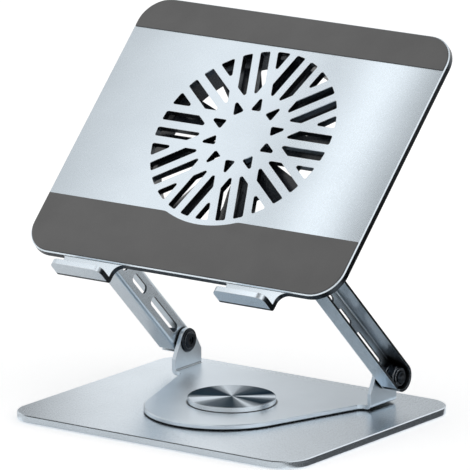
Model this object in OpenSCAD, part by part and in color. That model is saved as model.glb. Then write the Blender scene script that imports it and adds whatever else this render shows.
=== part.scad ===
// Folding laptop stand: weighted base plate, swivelling turntable, two hinged
// channel arms and a tray with a cooling fan behind a star-shaped grille.
// Millimetres. Origin at the centre of the base, on the surface it stands on,
// +X to the right, +Y to the back, +Z up. Drawn with the tray raised for use.

/* [Base] */
// Width of the base plate
base_w = 240; // [220:1:300]
// Depth of the base plate
base_d = 200; // [180:1:260]
// Thickness of the base plate
base_t = 5; // [4.5:0.1:8]
// Corner radius of the base plate
base_r = 21; // [10:1:40]
// Bevel round the top edge of the base plate
base_bevel = 0.6; // [0.3:0.1:2]
// Diameter of a rubber foot
foot_d = 18; // [10:1:24]
// How far the feet stand out below the plate
foot_out = 1.2; // [0.8:0.1:4]
// Depth of the pocket that a foot is bonded into
foot_pocket = 1.0; // [0.5:0.1:2]
// Distance of a foot's centre from the plate's edges
foot_inset = 24; // [16:1:40]

/* [Swivel] */
// Diameter of the fixed hub that the turntable turns on
hub_d = 30; // [26:1:36]
// Thickness of the nylon ring below the turntable
slide_t = 1.0; // [0.8:0.1:2]
// Outer diameter of the nylon ring
slide_d = 62; // [50:1:80]
// Wall of the bush pressed into the turntable
bush_wall = 2.5; // [1.5:0.1:4]
// Thickness of the friction ring above the turntable
friction_t = 0.6; // [0.4:0.1:1.5]
// Outer diameter of the friction ring
friction_d = 48; // [44:1:54]
// Diameter of the steel retaining plate
retainer_d = 52; // [46:1:56]
// Thickness of the steel retaining plate
retainer_t = 1.2; // [1:0.1:3]
// Diameter of the spun cap
cap_d = 61; // [58:1:70]
// Height of the cap's top above the turntable
cap_h = 4.1; // [3.4:0.1:8]
// Bevel round the cap's top edge
cap_bevel = 0.5; // [0.3:0.1:1.5]
// Screws that hold the hub and the retaining plate
swivel_screws = 3; // [3:1:4]
// Shank diameter of those screws
swivel_screw_d = 4; // [3:0.5:4]

/* [Turntable] */
// Thickness of the turntable sheet
sheet_t = 3; // [2.5:0.1:4]
// Radius of the turntable's round front
front_r = 54.5; // [50:0.5:57]
// How far the centre of the round front lies ahead of the swivel
front_ahead = 10.5; // [5:0.5:14]
// Angle at which the sides spread towards the ears
flare = 18.3; // [14:0.1:19]
// Outer radius of the bend below an ear
ear_bend_r = 3.8; // [3.4:0.1:6]
// Distance of the ears' outer faces from the middle
ear_x = 84.3; // [83:0.1:92]
// Length of an ear along its foot
ear_len = 31; // [26:1:36]
// Radius of an ear round its pivot
ear_r = 8.5; // [8:0.1:10]
// Height of an ear's upright rear edge above the turntable
ear_shoulder = 10.5; // [8:0.1:11]
// Height of an ear's upright front edge above the turntable
ear_front = 8.3; // [6:0.1:9]
// Radius of the inner corner ahead of an ear
ear_fillet = 5; // [2:0.5:7]
// Bevel round the top edge of the turntable
sheet_bevel = 0.7; // [0.3:0.1:1]

/* [Arms] */
// Distance of the lower pivot behind the swivel
pivot_y = 61.5; // [58:0.5:66]
// Height of the lower pivot above the turntable
pivot_h = 19.3; // [18:0.1:26]
// Distance between an arm's two pivots
arm_len = 134.4; // [125:0.2:170]
// Angle of the arms above the horizontal, as drawn
arm_angle = 44.2; // [40:0.1:60]
// Width of an arm
arm_w = 20; // [19:0.5:24]
// Depth of the arm's channel
arm_depth = 15; // [13:0.5:20]
// Thickness of the arm's sheet
arm_t = 1.6; // [1.2:0.1:2.4]
// Outer radius of the arm's bends
arm_bend_r = 2.6; // [2.5:0.1:4]
// Width of the slots in an arm
slot_w = 6.8; // [4:0.1:9]
// Distance of the first slot from the lower pivot
slot_start = 11.8; // [10:0.1:14]
// Length of the long slot
slot_long = 40.5; // [20:0.5:44]
// Length of each short slot
slot_short = 20.2; // [12:0.1:22]
// Sheet left between two slots
slot_gap = 9.4; // [5:0.1:10]

/* [Pivots] */
// Diameter of a pivot bolt's shank
bolt_d = 8; // [5:0.5:8]
// Diameter of the flange on a pivot bolt's head
head_d = 16.6; // [14:0.2:17]
// Thickness of the flange on a pivot bolt's head
head_flange_t = 1.4; // [1:0.1:2]
// Diameter of a pivot bolt's head above its flange
crown_d = 11.6; // [10:0.2:13]
// Height of a pivot bolt's head with its flange
head_h = 3; // [2.5:0.1:4]
// Diameter of the washers on a pivot
washer_d = 16.6; // [14:0.2:17]
// Thickness of the friction washer between arm and ear
inner_washer_t = 1.2; // [0.8:0.1:2]
// Thickness of the stack of washers under a nut
outer_washer_t = 3.2; // [0.8:0.1:4]
// Width of a nut across its flats
nut_af = 13; // [10:0.5:13]
// Height of a nut
nut_h = 8; // [3:0.1:8.5]
// How far a bolt's end stands out of its nut
bolt_out = 1.2; // [0.2:0.1:1.5]

/* [Tray] */
// Width of the tray
tray_w = 260; // [250:1:320]
// Length of the tray from its lower to its upper edge
tray_l = 214; // [208:1:260]
// Thickness of the tray
tray_t = 5.1; // [4.4:0.1:5.8]
// Corner radius of the tray
tray_r = 22; // [10:1:40]
// Bevel round the tray's front edge
tray_bevel = 0.7; // [0.5:0.1:0.9]
// Angle of the tray above the horizontal, as drawn
tray_tilt = 45; // [30:0.5:60]
// Distance of the upper pivot from the tray's lower edge
pivot_up = 29.3; // [26:0.1:36]
// Depth of the upper pivot behind the tray's front face
pivot_back = 17; // [17:0.5:22]
// Half the distance between the two hooks
hook_in = 46.9; // [30:0.1:50]
// Distance of the pair of hooks to the left of the middle
hook_shift = 2.8; // [0:0.1:6]
// Width of a hook
hook_w = 42.4; // [30:0.1:50]
// Thickness of a hook
hook_t = 3.9; // [3:0.1:4.1]
// How far a hook reaches below the tray's lower edge
hook_drop = 14.4; // [12:0.1:18]
// Height of a hook's lip above the tray's back face
hook_lip = 17.3; // [12:0.1:22]
// Radius of the rounded corners of a hook's lip
lip_r = 6; // [2:0.5:8]
// Radius of the inner corner between tray and hook, on a hook's right
hook_fillet = 7.5; // [3:0.5:8]
// Radius of the inner corner between tray and hook, on a hook's left
hook_fillet_left = 2; // [2:0.5:8]
// Outer radius of a hook's bend
hook_bend_r = 3; // [1:0.1:3.5]

/* [Pads] */
// Thickness of the silicone pads
pad_t = 0.8; // [0.5:0.1:2]
// Distance of the pads from the tray's edges
pad_inset = 1.1; // [1:0.1:4]
// Length of the lower pad
low_pad_l = 45.1; // [38:0.1:47]
// Length of the upper pad
top_pad_l = 25; // [15:0.1:25]
// Sheet left bare between the lower pad and the grille
pad_grille_gap = 4.4; // [2:0.1:6]
// Rounding of the lower pad's corners beside the grille
pad_corner_r = 12; // [4:1:14]

/* [Grille] */
// Distance of the grille's centre from the tray's lower edge
grille_up = 114.2; // [113:0.1:116]
// Radius of the grille
grille_r = 70; // [66:0.5:71]
// Radius of the plain centre
grille_hub_r = 20.7; // [16:0.1:24]
// Number of directions the ribs point in
grille_rays = 10; // [10:2:10]
// Distance between parallel ribs
rib_pitch = 13.4; // [11:0.1:15]
// Width of a rib
rib_w = 6; // [4:0.1:7]
// Rounding of the openings' corners
grille_round = 1.3; // [0.4:0.1:1.3]

/* [Fan] */
// Radius of the fan's bore
fan_bore_r = 70.8; // [70.8:0.1:73]
// Wall of the fan's frame
fan_wall = 2.4; // [1.5:0.1:3]
// Depth of the fan's frame behind the tray
fan_depth = 16; // [15:0.5:24]
// Gap between blade tips and bore
tip_gap = 2.2; // [1:0.1:4]
// Number of blades
blade_n = 9; // [5:1:9]
// Thickness of a blade
blade_t = 1.4; // [1:0.1:2]
// Pitch of the blades
blade_pitch = 24; // [16:1:26]
// Angle left between the edges of two blades
blade_gap = 9; // [2:1:14]
// Camber radius of the blades
blade_camber = 46; // [40:1:90]
// Radius of the fan's hub
fan_hub_r = 21; // [20:0.5:26]
// Wall of the fan's hub
fan_hub_wall = 1.4; // [1:0.1:2]
// Gap between the hub's front and the tray
hub_gap = 1.6; // [1:0.1:3]
// Diameter of the fan's shaft
shaft_d = 3; // [2:0.5:4]
// Outer diameter of the sleeve bearing
bearing_d = 6; // [5:0.5:7]
// Wall of the tube that holds the bearing
tube_wall = 1.6; // [1:0.1:2]
// Radius of the stator
stator_r = 15.2; // [13:0.1:15.4]
// Height of the stator's laminations
stator_h = 4.5; // [3:0.1:5]
// Thickness of the magnet ring
magnet_t = 2.6; // [1.5:0.1:3]
// Number of spokes behind the impeller
spoke_n = 4; // [3:1:5]
// Width of a spoke
spoke_w = 6; // [4:0.5:8]
// Thickness of a spoke and of the motor's seat
spoke_t = 2; // [1.5:0.1:2.5]
// Radius on which the fan's screws stand
fan_screw_r = 79; // [78:0.5:84]
// Shank diameter of the tray's screws
tray_screw_d = 3; // [2.5:0.5:3.5]
// Length of the power socket
socket_l = 7.5; // [6:0.5:9]
// Width of the power socket
socket_w = 9; // [8:0.5:12]
// Height of the power socket
socket_h = 3.4; // [3:0.1:5]

/* [Hidden] */
$fn = 96;

// fits
run_fit = 0.05;
seat_fit = 0.05;
eps = 0.01;
// overlap of round stretches that run into each other, so that they cross cleanly
join_dip = 0.05;
// what a bevel stops short of an inner corner
bevel_stop = 0.3;

// heights on the swivel axis
base_top = foot_out + base_t;
sheet_z0 = base_top + slide_t;
sheet_z1 = sheet_z0 + sheet_t;
hub_top = sheet_z1 + friction_t;
retainer_top = hub_top + retainer_t;
cap_top = sheet_z1 + cap_h;
cap_gap = 0.4;
csk_h = swivel_screw_d * 0.5;
csk_d = swivel_screw_d * 2;
hub_screw_ring = 9;
bush_d = hub_d + 2 * bush_wall;

// pivots across the stand
pivot_z = sheet_z1 + pivot_h;
ear_in = ear_x - sheet_t;
arm_in = ear_x + inner_washer_t;
web_out = arm_in + arm_t;
grip = web_out - ear_in;
channel_washer_d = arm_w - 2 * arm_bend_r - 0.4;
ear_y0 = pivot_y - ear_len / 2;
ear_y1 = pivot_y + ear_len / 2;
back_y = ear_y1 + 2.5;
bend_x = ear_x - ear_bend_r;
ear_chamfer = 6;
front_cy = -front_ahead;

// the tray's frame: origin on the face at the middle of its lower edge
upper_y = pivot_y - arm_len * cos(arm_angle);
upper_z = pivot_z + arm_len * sin(arm_angle);
edge_y = upper_y - pivot_up * cos(tray_tilt) - pivot_back * sin(tray_tilt);
edge_z = upper_z - pivot_up * sin(tray_tilt) + pivot_back * cos(tray_tilt);

// depths behind the tray's face
fan_back = -tray_t - fan_depth;
hub_front = -tray_t - hub_gap;
seat_front = fan_back + spoke_t;
lead_r = 0.6;
lead_space = 1.2;
lead_z = seat_front + 0.1 + lead_r;
rotor_back = lead_z + lead_r + 0.6;
blade_front = hub_front - 0.6;
hub_back = hub_front - fan_hub_wall;
tube_front = hub_back - 1.8;
board_t = 1;
board_r = fan_hub_r - 3.5;
board_back = seat_front + 0.6;
coil_t = 0.9;
coil_w = 4.8;
coil_l = 3.2;
coil_seat = 0.05;
coil_gap = 0.25;
stator_back = board_back + board_t + coil_gap + coil_t + coil_seat;
core_wall = 2.4;
slot_foot = 1.2;
slot_mouth = 1.4;
pole_tip = 2;
tip_slope = 2.4;
pole_side = 2.2;
tube_r = bearing_d / 2 + seat_fit + tube_wall;
magnet_r = fan_hub_r - fan_hub_wall - seat_fit;
blade_r = fan_bore_r - tip_gap;
bracket_t = sheet_t;
bracket_l = 34;
bracket_foot = 25;
// bracket screws, from the bracket's ends, its foot's edge and the ear
end_margin = 6;
foot_margin = 5.5;
ear_margin = 9;
bracket_u0 = pivot_up - bracket_l / 2;
screw_bite = tray_t - 1.4;
lug_t = 4;
lug_r = 5;
rim_out = 0.4;
rim_t = lug_t + 1;
bearing_sink = 0.8;
seat_r = fan_hub_r - 1;
socket_angle = 270;
socket_z = fan_back + 3;
socket_x0 = fan_bore_r + fan_wall;
socket_wall = 1.6;

// the grille's ribs, measured across the ray that they run along
step = 360 / grille_rays;
near = rib_w / 2;
far = rib_pitch - rib_w / 2;
beyond = rib_pitch + rib_w / 2;

metal = [0.72, 0.76, 0.80];
black = [0.13, 0.14, 0.16];
pad_grey = [0.38, 0.38, 0.38];

// ---------- shared shapes ----------

// Copies for the left and the right side.
module both_sides() {
    children();
    mirror([1, 0, 0]) children();
}

// Extrudes a (y, z) outline from x0 to x1.
module extrude_x(x0, x1) {
    translate([x0, 0, 0]) rotate([90, 0, 90]) linear_extrude(x1 - x0) children();
}

// Plate standing on z = 0 with round corners and a bevelled top edge.
module bevelled_plate(w, d, t, r, c) {
    side = [[0, 0], [0, t - c], [c, t]];
    for (k = [[w, d, 0], [d, w, 90]])
        rotate([90, 0, k[2]]) translate([0, 0, -(k[1] / 2 - r)]) linear_extrude(k[1] - 2 * r)
            polygon([for (s = [0, 1]) for (i = [0:2]) let (p = side[s == 0 ? i : 2 - i])
                [(s == 0 ? -1 : 1) * (k[0] / 2 - p[0]), p[1]]]);
    for (x = [-1, 1]) for (y = [-1, 1]) translate([x * (w / 2 - r), y * (d / 2 - r), 0]) {
        cylinder(r = r, h = t - c);
        translate([0, 0, t - c]) cylinder(r1 = r, r2 = r - c, h = c);
    }
}

// Wedge that bevels the straight top edge from p to q, material on its left.
module bevel_run(p, q, z, c) {
    translate([p[0], p[1], z]) rotate([0, 0, atan2(q[1] - p[1], q[0] - p[0])])
        extrude_x(0, norm(q - p)) polygon([[-1, -c - 1], [c + 1, 1], [-1, 1]]);
}

// Straight slot with round ends, from x0 to x1 along X.
module slot_outline(x0, x1, w) {
    translate([x0 + w / 2, -w / 2]) square([x1 - x0 - w, w]);
    for (x = [x0 + w / 2, x1 - w / 2]) translate([x, 0]) circle(d = w);
}

// Countersunk screw, head face at z = 0, shank upwards.
module countersunk_screw(d, l) {
    difference() {
        union() {
            cylinder(r1 = d, r2 = d / 2, h = d / 2);
            cylinder(d = d, h = l);
        }
        translate([0, 0, -eps]) cylinder(d = d * 0.6, h = d * 0.35, $fn = 6);
    }
}

// Pan head screw, shank upwards from z = 0, head below.
module pan_screw(d, l) {
    difference() {
        union() {
            cylinder(d = d, h = l);
            translate([0, 0, -d * 0.6]) cylinder(r1 = d * 0.75, r2 = d, h = d * 0.25);
            translate([0, 0, -d * 0.35]) cylinder(r = d, h = d * 0.35);
        }
        for (a = [0, 90]) rotate([0, 0, a]) translate([-d * 0.55, -d * 0.1, -d * 0.6 - eps])
            cube([d * 1.1, d * 0.2, d * 0.3]);
    }
}

// ---------- frames of reference ----------

module in_tray() {
    translate([0, edge_y, edge_z]) rotate([tray_tilt, 0, 0]) children();
}

module in_fan() {
    in_tray() translate([0, grille_up, 0]) children();
}

// Lies flat along +X in, stands along the right arm out, +Z outwards.
module in_arm() {
    translate([arm_in, pivot_y, pivot_z]) rotate([180 - arm_angle, 0, 0])
        rotate([90, 0, 90]) children();
}

module at_lower_pivot() {
    translate([0, pivot_y, pivot_z]) rotate([180 - arm_angle, 0, 0]) children();
}

module at_upper_pivot() {
    translate([0, upper_y, upper_z]) rotate([180 - arm_angle, 0, 0]) children();
}

// ---------- base and swivel ----------

function swivel_angle(i, turn) = 360 / swivel_screws * i + turn;

module at_swivel_screws(turn) {
    for (i = [0:swivel_screws - 1]) rotate([0, 0, swivel_angle(i, turn)])
        translate([hub_screw_ring, 0, 0]) children();
}

module at_feet() {
    for (x = [-1, 1]) for (y = [-1, 1])
        translate([x * (base_w / 2 - foot_inset), y * (base_d / 2 - foot_inset), 0]) children();
}

module base_plate() {
    color(metal) difference() {
        translate([0, 0, foot_out]) bevelled_plate(base_w, base_d, base_t, base_r, base_bevel);
        at_feet() translate([0, 0, foot_out - eps])
            cylinder(d = foot_d + 2 * seat_fit, h = foot_pocket + eps);
        at_swivel_screws(30) {
            translate([0, 0, foot_out - eps]) cylinder(d = swivel_screw_d + 2 * seat_fit, h = base_t + 1);
            translate([0, 0, foot_out - eps])
                cylinder(r1 = csk_d / 2 + seat_fit, r2 = swivel_screw_d / 2 + seat_fit, h = csk_h + seat_fit);
        }
    }
}

module base_feet() {
    color(black) at_feet() {
        cylinder(d1 = foot_d - 1, d2 = foot_d, h = 0.5);
        translate([0, 0, 0.5]) cylinder(d = foot_d, h = foot_out + foot_pocket - 0.5);
    }
}

module swivel_hub() {
    hub_h = hub_top - base_top;
    color([0.55, 0.57, 0.6]) difference() {
        translate([0, 0, base_top]) cylinder(d = hub_d, h = hub_h);
        for (turn = [30, 90]) at_swivel_screws(turn)
            translate([0, 0, base_top - 1]) cylinder(d = swivel_screw_d + 2 * seat_fit, h = hub_h + 2);
    }
}

module hub_screws() {
    color([0.5, 0.5, 0.52]) at_swivel_screws(30)
        translate([0, 0, foot_out]) countersunk_screw(swivel_screw_d, base_t + slide_t + sheet_t);
}

module slide_ring() {
    color([0.93, 0.93, 0.9]) translate([0, 0, base_top]) difference() {
        cylinder(d = slide_d, h = slide_t);
        translate([0, 0, -1]) cylinder(d = hub_d + 2 * seat_fit, h = slide_t + 2);
    }
}

module friction_ring() {
    color([0.2, 0.2, 0.2]) translate([0, 0, sheet_z1]) difference() {
        cylinder(d = friction_d, h = friction_t);
        translate([0, 0, -1]) cylinder(d = hub_d + 2 * seat_fit, h = friction_t + 2);
    }
}

module retaining_plate() {
    color([0.6, 0.62, 0.65]) difference() {
        translate([0, 0, hub_top]) cylinder(d = retainer_d, h = retainer_t);
        at_swivel_screws(90) translate([0, 0, hub_top - 1])
            cylinder(d = swivel_screw_d + 2 * seat_fit, h = retainer_t + 2);
    }
}

module retainer_screws() {
    color([0.5, 0.5, 0.52]) at_swivel_screws(90) difference() {
        union() {
            translate([0, 0, base_top + 0.4]) cylinder(d = swivel_screw_d, h = retainer_top - base_top - 0.4);
            translate([0, 0, retainer_top]) cylinder(d = swivel_screw_d * 1.6, h = 0.8);
        }
        translate([0, 0, retainer_top + 0.2]) cylinder(d = swivel_screw_d * 0.5, h = 1, $fn = 6);
    }
}

module swivel_cap() {
    skirt = sheet_z1 + cap_gap;
    color(metal) difference() {
        union() {
            translate([0, 0, skirt]) cylinder(d = cap_d, h = cap_top - cap_bevel - skirt);
            translate([0, 0, cap_top - cap_bevel])
                cylinder(r1 = cap_d / 2, r2 = cap_d / 2 - cap_bevel, h = cap_bevel);
        }
        translate([0, 0, skirt - 1]) cylinder(d = retainer_d + 2 * seat_fit, h = retainer_top - skirt + 1);
        at_swivel_screws(90) translate([0, 0, retainer_top - eps])
            cylinder(d = swivel_screw_d * 1.6 + 0.2, h = 0.9);
    }
}

// ---------- turntable ----------

// Half-width of the turntable's flaring side at y.
function side_x(y) = (front_r + (y - front_cy) * sin(flare)) / cos(flare);

// Where the flaring side starts, a little inside the round front that it leaves.
side_start = [0, front_cy] + (front_r - join_dip) * [cos(flare), -sin(flare)];
// Turn of the inner corner ahead of an ear, halved, and its radius.
corner_turn = (90 + flare) / 2;
corner_r = min(ear_fillet, (bend_x - side_x(ear_y0)) * tan(corner_turn));

module flaring_outline() {
    half = [side_start, [side_x(ear_y0), ear_y0], [bend_x + eps, ear_y0], [bend_x + eps, ear_y1],
            [bend_x - ear_chamfer, back_y]];
    polygon(concat(half, [for (i = [4:-1:0]) [-half[i][0], half[i][1]]]));
}

// Fills the inner corner between the flaring side and the front of an ear.
module ear_corner() {
    corner = [side_x(ear_y0), ear_y0];
    run = corner_r / tan(corner_turn);
    centre = corner + corner_r / sin(corner_turn) * [cos(corner_turn), -sin(corner_turn)];
    low = corner - run * [sin(flare), cos(flare)];
    difference() {
        polygon([corner + [-1, 1], corner + [run, 1], corner + [run, 0], centre, low, low - [1, 0]]);
        translate(centre) circle(r = corner_r);
    }
}

// Where the line from p touches the circle at c with radius r, on the given side.
function touch(p, c, r, side) =
    let (v = p - c, a = atan2(v[1], v[0]) + side * acos(r / norm(v)))
    c + r * [cos(a), sin(a)];

// Outline of an ear seen from the side, its foot drawn long.
module ear_outline() {
    pivot = [pivot_y, pivot_z];
    front = [ear_y0, sheet_z1 + ear_front];
    rear = [ear_y1, sheet_z1 + ear_shoulder];
    translate(pivot) circle(r = ear_r);
    polygon([[ear_y0, sheet_z0 - 1], [ear_y1, sheet_z0 - 1], rear, touch(rear, pivot, ear_r, 1),
             pivot, touch(front, pivot, ear_r, -1), front]);
}

module right_ear() {
    intersection() {
        translate([0, ear_y0 - 1, 0]) rotate([90, 0, 0]) mirror([0, 0, 1]) linear_extrude(ear_len + 2)
            difference() {
                union() {
                    translate([bend_x, sheet_z0 + ear_bend_r]) circle(r = ear_bend_r);
                    translate([ear_in, sheet_z0 + ear_bend_r]) square([sheet_t, pivot_h + ear_r + 5]);
                }
                translate([bend_x, sheet_z0 + ear_bend_r]) circle(r = ear_bend_r - sheet_t);
                translate([bend_x - 20, sheet_z0 - 1]) square([20, 30]);
                translate([bend_x - 20, sheet_z0 + ear_bend_r]) square([ear_in - bend_x + 20, 80]);
            }
        extrude_x(bend_x - 1, ear_x + 1) ear_outline();
    }
}

module round_front() {
    straight = sheet_t - sheet_bevel;
    translate([0, front_cy, sheet_z0]) {
        cylinder(r = front_r, h = straight, $fn = 160);
        translate([0, 0, straight])
            cylinder(r1 = front_r, r2 = front_r - sheet_bevel, h = sheet_bevel, $fn = 160);
    }
}

module turntable_plate() {
    along = [sin(flare), cos(flare)];
    side_end = [side_x(ear_y0), ear_y0] - (corner_r / tan(corner_turn) + bevel_stop) * along;
    rear_x = bend_x - ear_chamfer;
    color(metal) difference() {
        union() {
            round_front();
            difference() {
                translate([0, 0, sheet_z0]) linear_extrude(sheet_t) {
                    flaring_outline();
                    ear_corner();
                    mirror([1, 0]) ear_corner();
                }
                both_sides() bevel_run(side_start - 2 * along, side_end, sheet_z1, sheet_bevel);
                bevel_run([rear_x, back_y], [-rear_x, back_y], sheet_z1, sheet_bevel);
            }
            both_sides() right_ear();
        }
        translate([0, 0, sheet_z0 - 1]) cylinder(d = bush_d + 2 * seat_fit, h = sheet_t + 2);
        translate([-ear_x - 1, pivot_y, pivot_z]) rotate([0, 90, 0])
            cylinder(d = bolt_d + 2 * run_fit, h = 2 * ear_x + 2);
    }
}

module swivel_bush() {
    color([0.9, 0.9, 0.86]) translate([0, 0, sheet_z0]) difference() {
        cylinder(d = bush_d, h = sheet_t);
        translate([0, 0, -1]) cylinder(d = hub_d + 2 * run_fit, h = sheet_t + 2);
    }
}

// ---------- arms ----------

// Half of the channel's section: across the arm, then out from the web.
module channel_half() {
    edge = arm_w / 2;
    square([edge - arm_bend_r, arm_t]);
    translate([edge - arm_t, arm_bend_r]) square([arm_t, arm_depth - arm_bend_r]);
    intersection() {
        difference() {
            translate([edge - arm_bend_r, arm_bend_r]) circle(r = arm_bend_r);
            translate([edge - arm_bend_r, arm_bend_r]) circle(r = arm_bend_r - arm_t);
        }
        translate([edge - arm_bend_r, 0]) square([arm_bend_r, arm_bend_r]);
    }
}

// Channel arm lying along +X, web down, open upwards, its front flange at +Y.
module arm_channel() {
    second = slot_start + slot_long + slot_gap;
    third = second + slot_short + slot_gap;
    slit = 3.2;
    difference() {
        union() {
            rotate([90, 0, 90]) linear_extrude(arm_len) {
                channel_half();
                mirror([1, 0]) channel_half();
            }
            rotate([0, 0, 90]) rotate_extrude(angle = 180) channel_half();
            translate([arm_len, 0, 0]) rotate([0, 0, -90]) rotate_extrude(angle = 180) channel_half();
        }
        for (x = [0, arm_len]) translate([x, 0, -1]) cylinder(d = bolt_d + 2 * seat_fit, h = arm_t + 2);
        translate([0, 0, -1]) linear_extrude(arm_t + 2) {
            slot_outline(slot_start, slot_start + slot_long, slot_w);
            slot_outline(second, second + slot_short, slot_w);
            slot_outline(third, third + slot_short, slot_w);
        }
        for (x = [-slit + 1, arm_len - 1]) translate([x, arm_w / 2 - arm_t - 1, arm_bend_r])
            cube([slit, arm_t + 2, arm_depth]);
    }
}

module right_arm() {
    color(metal) in_arm() arm_channel();
}

module left_arm() {
    color(metal) mirror([1, 0, 0]) in_arm() arm_channel();
}

// ---------- pivot hardware, along X ----------
// The bolts point outwards: their heads lie inside the ears and brackets, and
// the nuts stand in the arms' channels. Drawn from the face under the head.

// Copies for the left and the right side, at the face under each bolt's head.
module both_heads() {
    both_sides() translate([ear_in, 0, 0]) rotate([0, 90, 0]) children();
}

module pivot_washer(z, d, t) {
    translate([0, 0, z]) difference() {
        cylinder(d = d, h = t);
        translate([0, 0, -1]) cylinder(d = bolt_d + 2 * seat_fit, h = t + 2);
    }
}

// Bolt with a flanged head and a hexagonal socket, its end chamfered.
module pivot_bolt() {
    rim = head_flange_t * 0.4;
    crown_rim = (head_h - head_flange_t) * 0.4;
    end_rim = bolt_out * 0.5;
    tip = grip + outer_washer_t + nut_h + bolt_out;
    difference() {
        union() {
            translate([0, 0, -head_h])
                cylinder(d1 = crown_d - 2 * crown_rim, d2 = crown_d, h = crown_rim);
            translate([0, 0, crown_rim - head_h]) cylinder(d = crown_d, h = head_h - crown_rim);
            translate([0, 0, -head_flange_t]) cylinder(d1 = head_d - 2 * rim, d2 = head_d, h = rim);
            translate([0, 0, rim - head_flange_t]) cylinder(d = head_d, h = head_flange_t - rim);
            cylinder(d = bolt_d, h = tip - end_rim);
            translate([0, 0, tip - end_rim])
                cylinder(d1 = bolt_d, d2 = bolt_d - 2 * end_rim, h = end_rim);
        }
        translate([0, 0, -head_h - eps]) cylinder(d = bolt_d * 0.75, h = head_h * 0.7, $fn = 6);
    }
}

// Hexagonal lock nut with a round collar.
module pivot_nut() {
    collar = nut_h * 0.25;
    translate([0, 0, grip + outer_washer_t]) difference() {
        union() {
            cylinder(d = nut_af / cos(30), h = nut_h - collar, $fn = 6);
            translate([0, 0, nut_h - collar - eps]) cylinder(d = nut_af - 0.6, h = collar + eps);
        }
        translate([0, 0, -1]) cylinder(d = bolt_d + 2 * seat_fit, h = nut_h + 2);
    }
}

// Washers between the arms and the ears or brackets.
module friction_washers() {
    for (x = [-arm_in, ear_x])
        translate([x, 0, 0]) rotate([0, 90, 0]) pivot_washer(0, washer_d, inner_washer_t);
}

// Washers under the nuts, just narrower than the channel between its bends.
module nut_washers() {
    both_heads() pivot_washer(grip, channel_washer_d, outer_washer_t);
}

module lower_pivot_bolts() {
    color(black) at_lower_pivot() both_heads() pivot_bolt();
}

module lower_friction_washers() {
    color(black) at_lower_pivot() friction_washers();
}

module lower_nut_washers() {
    color(black) at_lower_pivot() nut_washers();
}

module lower_lock_nuts() {
    color(black) at_lower_pivot() both_heads() pivot_nut();
}

module upper_pivot_bolts() {
    color(black) at_upper_pivot() both_heads() pivot_bolt();
}

module upper_friction_washers() {
    color(black) at_upper_pivot() friction_washers();
}

module upper_nut_washers() {
    color(black) at_upper_pivot() nut_washers();
}

module upper_lock_nuts() {
    color(black) at_upper_pivot() both_heads() pivot_nut();
}

// ---------- tray ----------

function turned(p, a) = [p[0] * cos(a) - p[1] * sin(a), p[0] * sin(a) + p[1] * cos(a)];

// Corner b of a polygon, between a and c, rounded with radius r.
function round_corner(a, b, c, r) =
    let (u = (a - b) / norm(a - b), v = (c - b) / norm(c - b))
    let (half = acos(u * v) / 2, m = (u + v) / norm(u + v), centre = b + m * r / sin(half))
    let (p = b + u * r / tan(half) - centre, q = b + v * r / tan(half) - centre)
    let (start = atan2(p[1], p[0]), sweep = atan2(q[1], q[0]) - start)
    let (turn = sweep > 180 ? sweep - 360 : sweep < -180 ? sweep + 360 : sweep)
    [for (i = [0:4]) centre + r * [cos(start + turn * i / 4), sin(start + turn * i / 4)]];

function rounded(pts, r) =
    [for (i = [0:len(pts) - 1])
        each round_corner(pts[(i + len(pts) - 1) % len(pts)], pts[i], pts[(i + 1) % len(pts)], r)];

// Where the line at distance d beside the ray at angle a meets the rim.
function on_rim(d) = [sqrt(grille_r * grille_r - d * d), d];

// Distance along a ray at which the next ray's outer rib crosses the offset d.
function cut_at(d) = (beyond + d * cos(step)) / sin(step);

// Long opening beside the ray at angle 0, between the middle and the outer rib.
function long_opening() = [[cut_at(near), near], on_rim(near), on_rim(far), [cut_at(far), far]];

// Triangles on the line halfway to the next ray: one at the rim, one at the hub.
function rim_opening() =
    let (p = turned(on_rim(beyond), -step / 2))
    [[beyond / sin(step / 2), 0], [p[0], -abs(p[1])], [p[0], abs(p[1])]];
function hub_opening() =
    let (tip = far / sin(step / 2), w = (tip - grille_hub_r) * tan(step / 2))
    [[grille_hub_r, -w], [tip, 0], [grille_hub_r, w]];

module grille_openings() {
    for (i = [0:grille_rays - 1]) rotate([0, 0, step * i]) {
        polygon(rounded(long_opening(), grille_round));
        mirror([0, 1]) polygon(rounded(long_opening(), grille_round));
        rotate([0, 0, step / 2]) {
            polygon(rounded(rim_opening(), grille_round));
            polygon(rounded(hub_opening(), grille_round));
        }
    }
}

// Flat part of a hook that carries on from the tray's lower edge.
module hook_tab_outline() {
    right = hook_w + hook_fillet;
    left = -hook_fillet_left;
    difference() {
        union() {
            translate([0, -hook_drop + hook_bend_r]) square([hook_w, hook_drop - hook_bend_r + 10]);
            translate([0, -hook_fillet]) square([right, hook_fillet + 10]);
            translate([left, left]) square([hook_fillet_left + 1, hook_fillet_left + 10]);
        }
        translate([right, -hook_fillet]) circle(r = hook_fillet);
        translate([left, left]) circle(r = hook_fillet_left);
    }
}

// Section of a hook's bend and lip: up the tray, then out from its face.
module hook_section() {
    z0 = -tray_t;
    r = hook_bend_r;
    translate([-hook_drop + r, z0]) square([1, hook_t]);
    intersection() {
        union() {
            translate([-hook_drop + r, z0 + r]) circle(r = r);
            translate([-hook_drop, z0 + r]) square([hook_t, r + 1]);
            translate([-hook_drop + r, z0]) square([r + 1, hook_t]);
        }
        translate([-hook_drop, z0]) square([hook_t, hook_t]);
    }
    translate([-hook_drop, z0 + hook_t - eps]) square([hook_t, hook_lip - hook_t + eps]);
}

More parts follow.
